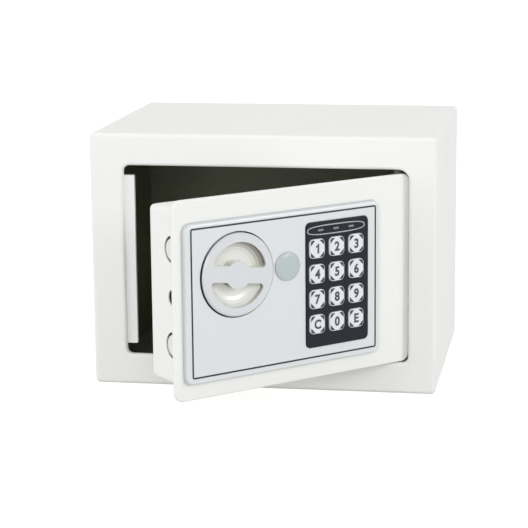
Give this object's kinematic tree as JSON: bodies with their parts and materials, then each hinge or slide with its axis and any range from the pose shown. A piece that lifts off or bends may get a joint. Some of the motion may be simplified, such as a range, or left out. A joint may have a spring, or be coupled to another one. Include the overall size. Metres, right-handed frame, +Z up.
{
  "type": "electronic safe",
  "caption": "Compact steel safe, door ajar on hidden pins, with a keypad, a turning knob that throws two round bolts, an emergency lock and a battery box.",
  "frame": {"origin": "centre of the cabinet's underside", "axes": "-Y is the front with the door, +X is the viewer's right with the hinges, +Z is up"},
  "size_m": [0.23, 0.2889, 0.17],
  "materials": {
    "white_enamel": "semi-gloss powder coat",
    "zinc_steel": "zinc-plated steel",
    "bright_steel": "bright plated steel",
    "silver_plastic": "silver lacquered, satin",
    "satin_silver": "satin silver lacquer",
    "slate_plastic": "fine satin",
    "key_plastic": "pale satin",
    "grey_plastic": "satin",
    "black_plastic": "matt",
    "red_plastic": "satin",
    "green_board": "lacquered board",
    "smoked_lens": "smoked clear",
    "brass": "turned",
    "battery_sleeve": "printed sleeve",
    "grey_felt": "short pile felt"
  },
  "bodies": {
    "cabinet": {"body_shell": "white_enamel", "back_panel": "white_enamel", "strike_strip": "white_enamel", "hinge_strip": "white_enamel", "hinge_bracket_upper": "zinc_steel", "hinge_bracket_lower": "zinc_steel", "floor_mat": "grey_felt"},
    "door": {"door_plate": "white_enamel", "door_pan": "white_enamel", "hinge_pin_upper": "zinc_steel", "hinge_pin_lower": "zinc_steel", "control_panel": "silver_plastic", "lock_cylinder": "brass", "keypad_plate": "slate_plastic", "lamp_bar": "smoked_lens", "keypad_board": "green_board", "solenoid": "zinc_steel", "solenoid_spring": "bright_steel", "inner_cover": "white_enamel", "battery_tray": "black_plastic", "battery_contact_upper": "bright_steel", "battery_contact_lower": "bright_steel", "battery_1": "battery_sleeve", "battery_2": "battery_sleeve", "battery_3": "battery_sleeve", "battery_4": "battery_sleeve", "reset_switch": "black_plastic", "guide_stud_upper": "zinc_steel", "guide_stud_lower": "zinc_steel", "panel_screw_1": "zinc_steel", "panel_screw_2": "zinc_steel", "panel_screw_3": "zinc_steel", "panel_screw_4": "zinc_steel", "cover_screw_1": "zinc_steel", "cover_screw_2": "zinc_steel", "cover_screw_3": "zinc_steel", "cover_screw_4": "zinc_steel"},
    "turning_knob": {"knob": "satin_silver", "knob_spindle": "zinc_steel"},
    "bolt_work": {"bolt_plate": "zinc_steel", "bolt_upper": "bright_steel", "bolt_lower": "bright_steel"},
    "cap": {"keyhole_cap": "grey_plastic"},
    "plug": {"lock_plug": "brass"},
    "plunger": {"solenoid_plunger": "bright_steel"},
    "battery_lid": {"battery_cover": "black_plastic"},
    "reset": {"reset_button": "red_plastic"},
    "button_1": {"key_1": "key_plastic"},
    "button_2": {"key_2": "key_plastic"},
    "button_3": {"key_3": "key_plastic"},
    "button_4": {"key_4": "key_plastic"},
    "button_5": {"key_5": "key_plastic"},
    "button_6": {"key_6": "key_plastic"},
    "button_7": {"key_7": "key_plastic"},
    "button_8": {"key_8": "key_plastic"},
    "button_9": {"key_9": "key_plastic"},
    "button_c": {"key_c": "key_plastic"},
    "button_0": {"key_0": "key_plastic"},
    "button_e": {"key_e": "key_plastic"}
  },
  "joints": [
    {"name": "door_hinge", "type": "hinge", "parent": "cabinet", "child": "door", "pos_m": [0.089, -0.079, 0.085], "axis": [0, 0, 1], "range_deg": [-44, 46]},
    {"name": "knob_turn", "type": "hinge", "parent": "door", "child": "turning_knob", "pos_m": [-0.00066, -0.17531, 0.09735], "axis": [-0.6947, 0.7193, 0], "range_deg": [0, 90]},
    {"name": "bolt_slide", "type": "slide", "parent": "door", "child": "bolt_work", "axis": [-0.7193, -0.6947, 0], "range_m": [0, 0.016]},
    {"name": "cap_pull", "type": "slide", "parent": "door", "child": "cap", "axis": [0.6947, -0.7193, 0], "range_m": [0, 0.02]},
    {"name": "key_turn", "type": "hinge", "parent": "door", "child": "plug", "pos_m": [0.02193, -0.14516, 0.09785], "axis": [-0.6947, 0.7193, 0], "range_deg": [0, 90]},
    {"name": "plunger_slide", "type": "slide", "parent": "door", "child": "plunger", "axis": [0, 0, -1], "range_m": [0, 0.004], "stiffness_N_per_m": 120, "deforming": ["solenoid_spring"]},
    {"name": "battery_lid_lift", "type": "slide", "parent": "door", "child": "battery_lid", "axis": [-0.6947, 0.7193, 0], "range_m": [0, 0.02]},
    {"name": "reset_press", "type": "slide", "parent": "door", "child": "reset", "axis": [0.6947, -0.7193, 0], "range_m": [0, 0.001], "stiffness_N_per_m": 250},
    {"name": "button_1_press", "type": "slide", "parent": "door", "child": "button_1", "axis": [-0.6947, 0.7193, 0], "range_m": [0, 0.0005], "stiffness_N_per_m": 300},
    {"name": "button_2_press", "type": "slide", "parent": "door", "child": "button_2", "axis": [-0.6947, 0.7193, 0], "range_m": [0, 0.0005], "stiffness_N_per_m": 300},
    {"name": "button_3_press", "type": "slide", "parent": "door", "child": "button_3", "axis": [-0.6947, 0.7193, 0], "range_m": [0, 0.0005], "stiffness_N_per_m": 300},
    {"name": "button_4_press", "type": "slide", "parent": "door", "child": "button_4", "axis": [-0.6947, 0.7193, 0], "range_m": [0, 0.0005], "stiffness_N_per_m": 300},
    {"name": "button_5_press", "type": "slide", "parent": "door", "child": "button_5", "axis": [-0.6947, 0.7193, 0], "range_m": [0, 0.0005], "stiffness_N_per_m": 300},
    {"name": "button_6_press", "type": "slide", "parent": "door", "child": "button_6", "axis": [-0.6947, 0.7193, 0], "range_m": [0, 0.0005], "stiffness_N_per_m": 300},
    {"name": "button_7_press", "type": "slide", "parent": "door", "child": "button_7", "axis": [-0.6947, 0.7193, 0], "range_m": [0, 0.0005], "stiffness_N_per_m": 300},
    {"name": "button_8_press", "type": "slide", "parent": "door", "child": "button_8", "axis": [-0.6947, 0.7193, 0], "range_m": [0, 0.0005], "stiffness_N_per_m": 300},
    {"name": "button_9_press", "type": "slide", "parent": "door", "child": "button_9", "axis": [-0.6947, 0.7193, 0], "range_m": [0, 0.0005], "stiffness_N_per_m": 300},
    {"name": "button_c_press", "type": "slide", "parent": "door", "child": "button_c", "axis": [-0.6947, 0.7193, 0], "range_m": [0, 0.0005], "stiffness_N_per_m": 300},
    {"name": "button_0_press", "type": "slide", "parent": "door", "child": "button_0", "axis": [-0.6947, 0.7193, 0], "range_m": [0, 0.0005], "stiffness_N_per_m": 300},
    {"name": "button_e_press", "type": "slide", "parent": "door", "child": "button_e", "axis": [-0.6947, 0.7193, 0], "range_m": [0, 0.0005], "stiffness_N_per_m": 300}
  ],
  "couplings": [
    {"joint": "bolt_slide", "follows": "knob_turn", "m_per_rad": 0.010186}
  ]
}
